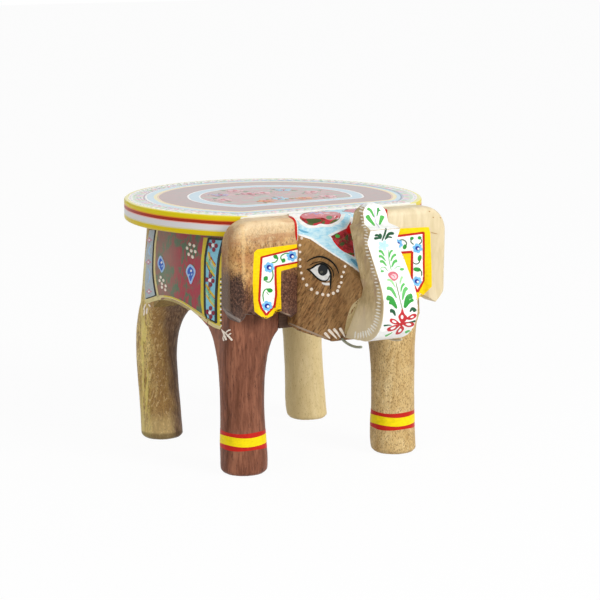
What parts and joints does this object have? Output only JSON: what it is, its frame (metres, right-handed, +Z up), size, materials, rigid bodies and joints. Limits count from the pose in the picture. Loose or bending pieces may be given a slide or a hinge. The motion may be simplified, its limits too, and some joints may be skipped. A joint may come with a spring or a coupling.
{
  "type": "carved elephant stool",
  "caption": "Low painted wooden stool shaped as a standing elephant, with a round seat cut straight in front, post legs, flat ears and a raised trunk.",
  "frame": {"origin": "on the floor, in the middle of the whole outline", "axes": "+Z up, -Y the way the elephant faces, +X towards the elephant's left side"},
  "size_m": [0.295, 0.383, 0.265],
  "materials": {
    "seat_paint": "painted wood with a maroon ground, coloured rings and a satin clear coat",
    "body_paint": "painted wood with a maroon and green mottled ground and a satin clear coat",
    "core_wood": "plain mid-brown wood with a satin clear coat",
    "leg_tan_wood": "light tan wood with coarse flecks and a satin clear coat",
    "leg_red_wood": "reddish brown straight-grained wood with a satin clear coat",
    "leg_pale_wood": "pale beige wood with a satin clear coat",
    "leg_olive_wood": "golden brown wood with dark flecks and a satin clear coat",
    "head_wood": "mid-brown wood with fine curved grain and a satin clear coat",
    "ear_pale_wood": "pale cream wood with a satin clear coat",
    "ear_dark_wood": "tan wood that darkens downward, with a satin clear coat",
    "trunk_paint": "white paint on the front, grey-beige stained sides, satin clear coat",
    "tusk": "thin grey stained peg",
    "dowel_wood": "plain hardwood dowel"
  },
  "bodies": {
    "root": {"seat_board_left": "seat_paint", "seat_board_middle": "seat_paint", "seat_board_right": "seat_paint", "body_core_left": "core_wood", "body_core_right": "core_wood", "side_rail_left": "body_paint", "side_rail_right": "body_paint", "leg_front_left": "leg_tan_wood", "leg_front_right": "leg_red_wood", "leg_rear_left": "leg_pale_wood", "leg_rear_right": "leg_olive_wood", "head": "head_wood", "ear_left": "ear_pale_wood", "ear_right": "ear_dark_wood", "trunk": "trunk_paint", "tusk_left": "tusk", "tusk_right": "tusk", "tail": "core_wood", "core_dowels": "dowel_wood", "rail_dowels": "dowel_wood", "leg_dowels": "dowel_wood", "head_dowels": "dowel_wood", "ear_dowels": "dowel_wood", "trunk_dowel": "dowel_wood", "tail_dowel": "dowel_wood", "seat_dowels": "dowel_wood", "seat_edge_dowels": "dowel_wood"}
  },
  "joints": []
}
